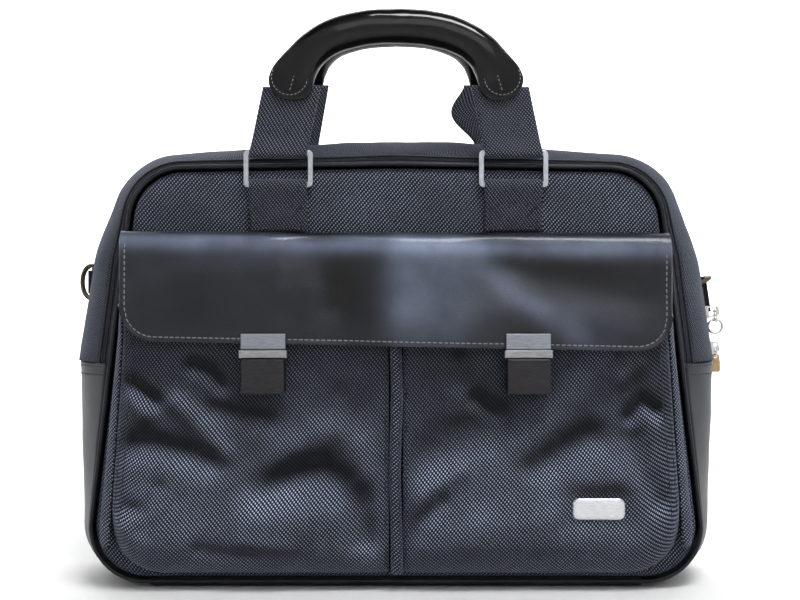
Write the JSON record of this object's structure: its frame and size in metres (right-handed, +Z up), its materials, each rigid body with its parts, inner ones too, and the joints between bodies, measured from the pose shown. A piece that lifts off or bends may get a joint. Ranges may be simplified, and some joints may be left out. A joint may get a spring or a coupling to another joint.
{
  "type": "laptop briefcase",
  "caption": "Soft nylon laptop briefcase with a leather flap over front pockets, slide locks, ring-mounted carry handles, side rings and a zipped main compartment.",
  "frame": {"origin": "under the middle of the bag, on the surface that it stands on", "axes": "+X to the right as seen from the front, -Y to the front with the flap, +Z up"},
  "size_m": [0.4613, 0.1326, 0.4024],
  "materials": {
    "nylon": "black and navy ballistic nylon, twill weave, matt",
    "webbing": "nylon webbing",
    "leather": "smooth black leather, semi-gloss",
    "lining": "padded lining",
    "board": "stiffener board",
    "zip": "zip coil on woven tape",
    "steel": "brushed, satin",
    "gunmetal": "dark gunmetal plating, satin",
    "bronze": "dark bronze plating",
    "brass": "worn brass plating",
    "badge": "plain satin"
  },
  "bodies": {
    "bag": {"back_panel": "nylon", "front_panel": "nylon", "compartment_divider": "lining", "laptop_pad": "lining", "base_board": "board", "bottom_gusset": "nylon", "base_panel": "leather", "side_patch_left": "leather", "side_patch_right": "leather", "gusset_front": "nylon", "gusset_rear": "nylon", "main_zip_chain": "zip", "front_zip_chain": "zip", "front_piping": "leather", "left_pocket_front": "nylon", "right_pocket_front": "nylon", "left_pocket_gusset": "nylon", "right_pocket_gusset": "nylon", "pocket_ridge": "nylon", "badge": "badge", "flap_root": "leather", "left_lock_base": "gunmetal", "right_lock_base": "gunmetal", "left_lock_spring": "steel", "right_lock_spring": "steel", "left_lock_washer": "steel", "right_lock_washer": "steel", "front_left_tab": "webbing", "front_right_tab": "webbing", "rear_left_tab": "webbing", "rear_right_tab": "webbing", "left_d_loop": "webbing", "right_d_loop": "webbing"},
    "flap": {"flap": "leather", "left_strike_plate": "steel", "right_strike_plate": "steel", "left_strike_tongue": "steel", "right_strike_tongue": "steel", "left_flap_back_plate": "steel", "right_flap_back_plate": "steel"},
    "left_slide": {"left_lock_slide": "gunmetal"},
    "right_slide": {"right_lock_slide": "gunmetal"},
    "front_rings": {"front_left_ring": "steel", "front_right_ring": "steel"},
    "front_handle": {"front_left_strap": "webbing", "front_right_strap": "webbing", "front_grip": "leather"},
    "rear_rings": {"rear_left_ring": "steel", "rear_right_ring": "steel"},
    "rear_handle": {"rear_left_strap": "webbing", "rear_right_strap": "webbing", "rear_grip": "leather"},
    "left_side_ring": {"left_d_ring": "bronze"},
    "right_side_ring": {"right_d_ring": "bronze"},
    "upper_slider": {"upper_zip_slider": "steel"},
    "upper_pull": {"upper_pull_link": "steel", "upper_pull_ring": "steel"},
    "lower_slider": {"lower_zip_slider": "steel"},
    "lower_pull": {"lower_pull_link": "steel", "lower_pull_tab": "brass"}
  },
  "joints": [
    {"name": "flap_fold", "type": "hinge", "parent": "bag", "child": "flap", "pos_m": [0, -0.055, 0.2295], "axis": [-1, 0, 0], "range_deg": [0, 105]},
    {"name": "left_lock_press", "type": "slide", "parent": "bag", "child": "left_slide", "axis": [0, 0, -1], "range_m": [0, 0.004], "stiffness_N_per_m": 350, "springref_m": -0.002, "deforming": ["left_lock_spring"]},
    {"name": "right_lock_press", "type": "slide", "parent": "bag", "child": "right_slide", "axis": [0, 0, -1], "range_m": [0, 0.004], "stiffness_N_per_m": 350, "springref_m": -0.002, "deforming": ["right_lock_spring"]},
    {"name": "front_rings_swing", "type": "hinge", "parent": "bag", "child": "front_rings", "pos_m": [0, -0.0351, 0.2684], "axis": [-1, 0, 0], "range_deg": [-60, 0]},
    {"name": "front_handle_swing", "type": "hinge", "parent": "front_rings", "child": "front_handle", "pos_m": [0, -0.0351, 0.2896], "axis": [-1, 0, 0], "range_deg": [-100, 20]},
    {"name": "rear_rings_swing", "type": "hinge", "parent": "bag", "child": "rear_rings", "pos_m": [0, 0.0571, 0.278], "axis": [-1, 0, 0], "range_deg": [0, 60]},
    {"name": "rear_handle_swing", "type": "hinge", "parent": "rear_rings", "child": "rear_handle", "pos_m": [0, 0.0571, 0.2992], "axis": [-1, 0, 0], "range_deg": [-20, 100]},
    {"name": "left_side_ring_swing", "type": "hinge", "parent": "bag", "child": "left_side_ring", "pos_m": [-0.21921, 0.038, 0.205], "axis": [0, 0, 1], "range_deg": [-60, 60]},
    {"name": "right_side_ring_swing", "type": "hinge", "parent": "bag", "child": "right_side_ring", "pos_m": [0.21874, 0.038, 0.205], "axis": [0, -1, 0], "range_deg": [-35, 40]},
    {"name": "upper_slider_travel", "type": "slide", "parent": "bag", "child": "upper_slider", "axis": [-0.1443, 0, 0.9895], "range_m": [0, 0.015]},
    {"name": "upper_pull_swing", "type": "hinge", "parent": "upper_slider", "child": "upper_pull", "pos_m": [0.22651, 0.021, 0.18429], "axis": [0, -1, 0], "range_deg": [0, 120]},
    {"name": "lower_slider_travel", "type": "slide", "parent": "bag", "child": "lower_slider", "axis": [-0.1443, 0, 0.9895], "range_m": [0, 0.003]},
    {"name": "lower_pull_swing", "type": "hinge", "parent": "lower_slider", "child": "lower_pull", "pos_m": [0.22654, 0.021, 0.15876], "axis": [0, -1, 0], "range_deg": [0, 80]}
  ]
}
